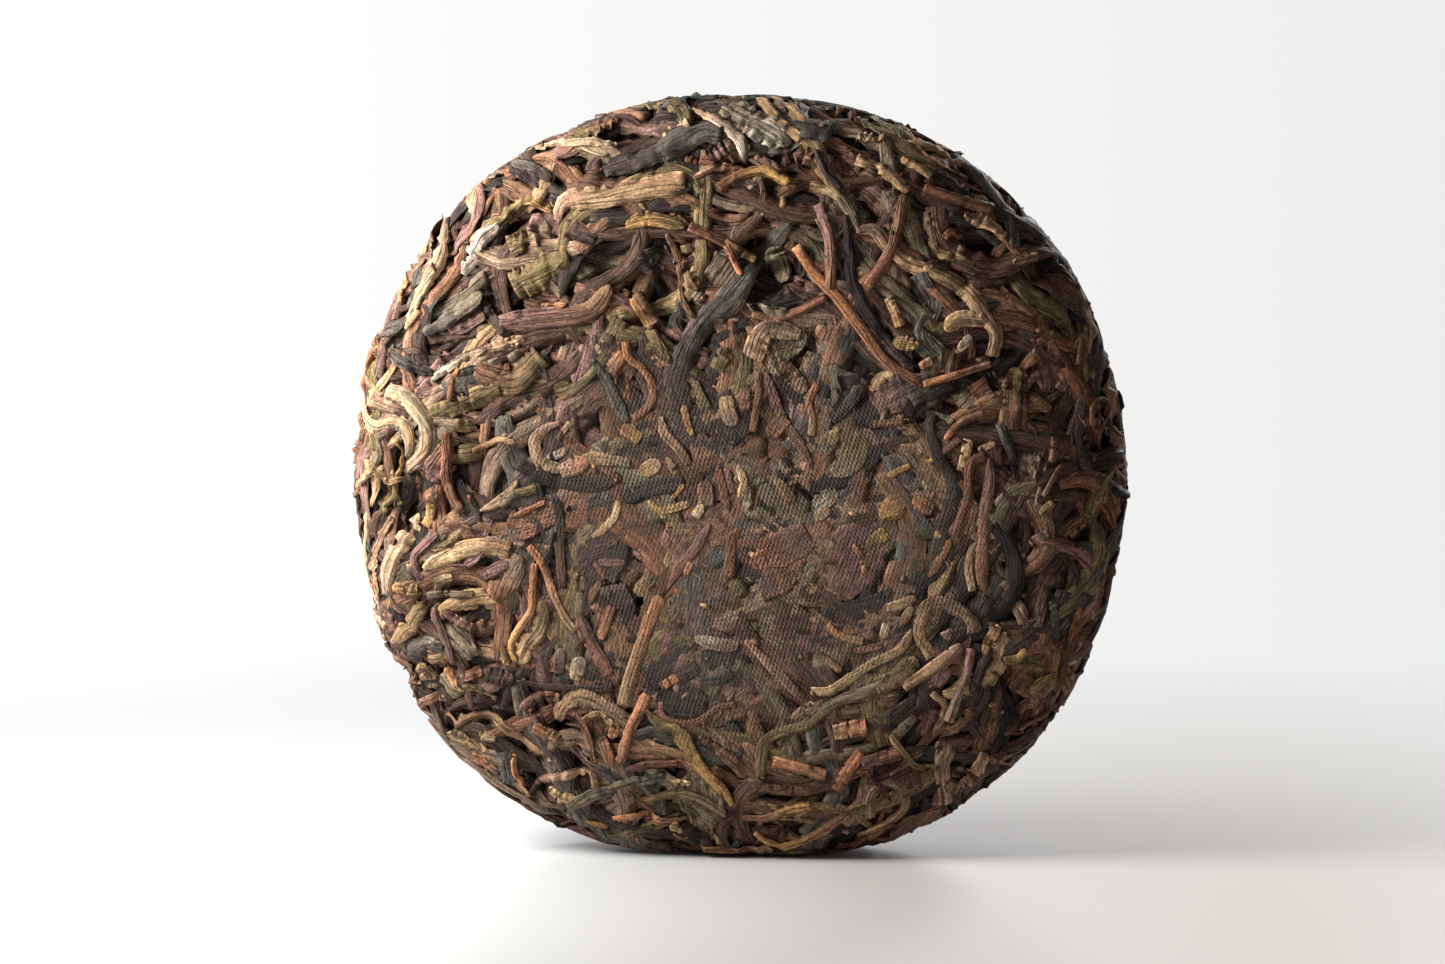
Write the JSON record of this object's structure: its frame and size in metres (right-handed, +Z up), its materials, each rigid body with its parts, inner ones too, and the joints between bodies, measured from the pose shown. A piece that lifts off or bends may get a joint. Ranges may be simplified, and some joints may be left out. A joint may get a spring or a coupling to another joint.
{
  "type": "pressed tea cake",
  "caption": "Small round pressed cake of twisted dried raw pu erh tea leaves, buds and stems, standing upright on its rim.",
  "frame": {"origin": "on the ground under the middle of the cake, where its rim stands on the small flat", "axes": "+Z up, the disc's axis along Y with the shown face towards -Y, +X to the right of someone who looks at that face"},
  "size_m": [0.104, 0.0228, 0.1022],
  "materials": {
    "tea_leaves": "dried tea leaves: matt to faintly satin, dark brown and charcoal with olive, mauve and tan",
    "tea_stems": "dried tea stems: satin orange brown to red brown with fine lengthways wrinkles",
    "tea_buds": "dried tea buds: matt cream to golden tan with fine down and lengthways folds"
  },
  "bodies": {
    "root": {"tea_cake": "tea_leaves"}
  },
  "joints": []
}
